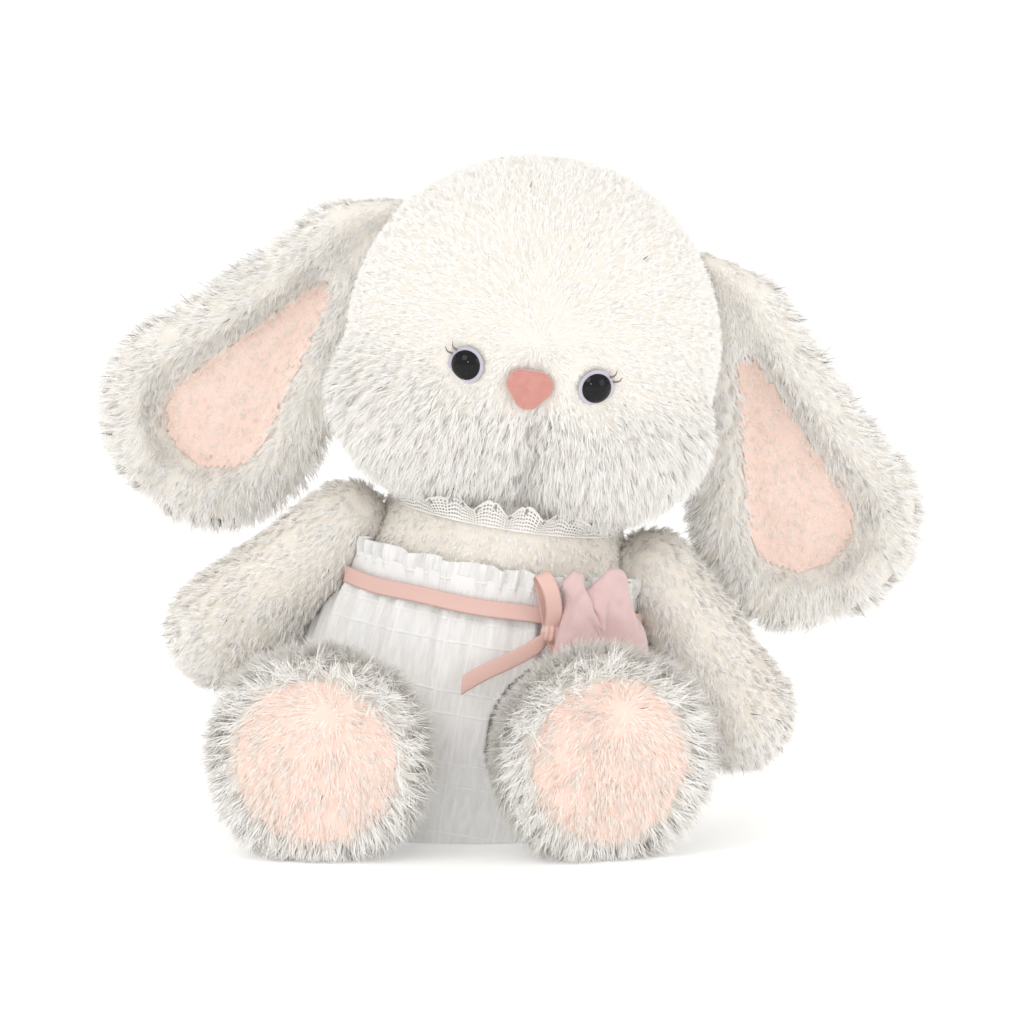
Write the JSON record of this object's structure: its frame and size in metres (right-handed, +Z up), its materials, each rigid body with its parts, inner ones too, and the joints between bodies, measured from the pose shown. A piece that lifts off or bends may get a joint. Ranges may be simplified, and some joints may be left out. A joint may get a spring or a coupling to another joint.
{
  "type": "stuffed bunny rabbit",
  "caption": "Seated plush rabbit with long drooping ears, a round head, soft limbs, a lace collar and cotton shorts tied with a satin ribbon.",
  "frame": {"origin": "middle of the flat seat that the rabbit sits on", "axes": "+Z up; the face looks along -Y; +X is the side that the upper body leans towards"},
  "size_m": [0.3354, 0.1814, 0.2814],
  "materials": {
    "plush_white": "matte",
    "plush_cream": "matte",
    "plush_peach": "matte",
    "polyester_fill": "matte",
    "pouch_cloth": "matte",
    "plastic_pellets": "satin",
    "cotton_gauze": "matte",
    "elastic_tape": "matte",
    "satin_ribbon": "satin",
    "velvet_pink": "matte",
    "lace_white": "matte",
    "thread_white": "matte",
    "eye_black": "gloss",
    "eye_ring_pale": "satin",
    "washer_plastic": "satin",
    "lash_thread": "matte",
    "nose_flock": "matte"
  },
  "bodies": {
    "root": {"torso_shell": "plush_cream", "torso_stuffing": "polyester_fill", "pellet_pouch": "pouch_cloth", "pellets": "plastic_pellets", "tail_shell": "plush_white", "tail_stuffing": "polyester_fill", "shorts_shell": "cotton_gauze", "waist_elastic": "elastic_tape", "waist_ruffle": "cotton_gauze", "waist_ribbon": "satin_ribbon", "bow_knot": "satin_ribbon", "bow_loop_upper": "satin_ribbon", "bow_loop_side": "satin_ribbon", "bow_end_long": "satin_ribbon", "bow_end_short": "satin_ribbon", "tulip_shell": "velvet_pink", "tulip_stuffing": "polyester_fill"},
    "neck": {"neck_lace": "lace_white", "neck_gathering_thread": "thread_white"},
    "head": {"head_shell": "plush_white", "head_stuffing": "polyester_fill", "eye_left": "eye_black", "eye_right": "eye_black", "eye_ring_left": "eye_ring_pale", "eye_ring_right": "eye_ring_pale", "eye_washer_left": "washer_plastic", "eye_washer_right": "washer_plastic", "lashes_left": "lash_thread", "lashes_right": "lash_thread", "nose": "nose_flock", "nose_washer": "washer_plastic"},
    "ear_left": {"ear_left_shell": "plush_white", "ear_left_lining": "plush_peach", "ear_left_wadding": "polyester_fill"},
    "arm_left": {"arm_left_shell": "plush_cream", "arm_left_stuffing": "polyester_fill"},
    "leg_left": {"leg_left_shell": "plush_white", "leg_left_stuffing": "polyester_fill", "leg_left_sole": "plush_peach"},
    "ear_right": {"ear_right_shell": "plush_white", "ear_right_lining": "plush_peach", "ear_right_wadding": "polyester_fill"},
    "arm_right": {"arm_right_shell": "plush_cream", "arm_right_stuffing": "polyester_fill"},
    "leg_right": {"leg_right_shell": "plush_white", "leg_right_stuffing": "polyester_fill", "leg_right_sole": "plush_peach"}
  },
  "joints": [
    {"name": "neck_tilt", "type": "hinge", "parent": "root", "child": "neck", "pos_m": [0.01919, 0, 0.11846], "axis": [0, 1, 0], "range_deg": [-6, 6], "stiffness_Nm_per_rad": 1.5},
    {"name": "head_nod", "type": "hinge", "parent": "neck", "child": "head", "pos_m": [0.01919, 0, 0.11846], "axis": [0.9871, 0, -0.1599], "range_deg": [-8, 5], "stiffness_Nm_per_rad": 1.5},
    {"name": "ear_left_lift", "type": "hinge", "parent": "head", "child": "ear_left", "pos_m": [0.10038, 0.013, 0.25116], "axis": [0, -1, 0], "range_deg": [0, 30], "stiffness_Nm_per_rad": 0.2},
    {"name": "ear_right_lift", "type": "hinge", "parent": "head", "child": "ear_right", "pos_m": [-0.01379, 0.013, 0.2717], "axis": [0, 1, 0], "range_deg": [0, 30], "stiffness_Nm_per_rad": 0.2},
    {"name": "arm_left_raise", "type": "hinge", "parent": "root", "child": "arm_left", "pos_m": [0.08466, -0.008, 0.10988], "axis": [0, -1, 0], "range_deg": [0, 50], "stiffness_Nm_per_rad": 0.4},
    {"name": "arm_right_raise", "type": "hinge", "parent": "root", "child": "arm_right", "pos_m": [-0.04564, -0.008, 0.13098], "axis": [0, 1, 0], "range_deg": [0, 50], "stiffness_Nm_per_rad": 0.4},
    {"name": "leg_left_splay", "type": "hinge", "parent": "root", "child": "leg_left", "pos_m": [0.05, -0.046, 0.0425], "axis": [0, 0, 1], "range_deg": [-12, 5], "stiffness_Nm_per_rad": 0.6},
    {"name": "leg_right_splay", "type": "hinge", "parent": "root", "child": "leg_right", "pos_m": [-0.05, -0.046, 0.0425], "axis": [0, 0, -1], "range_deg": [-4, 15], "stiffness_Nm_per_rad": 0.6}
  ]
}
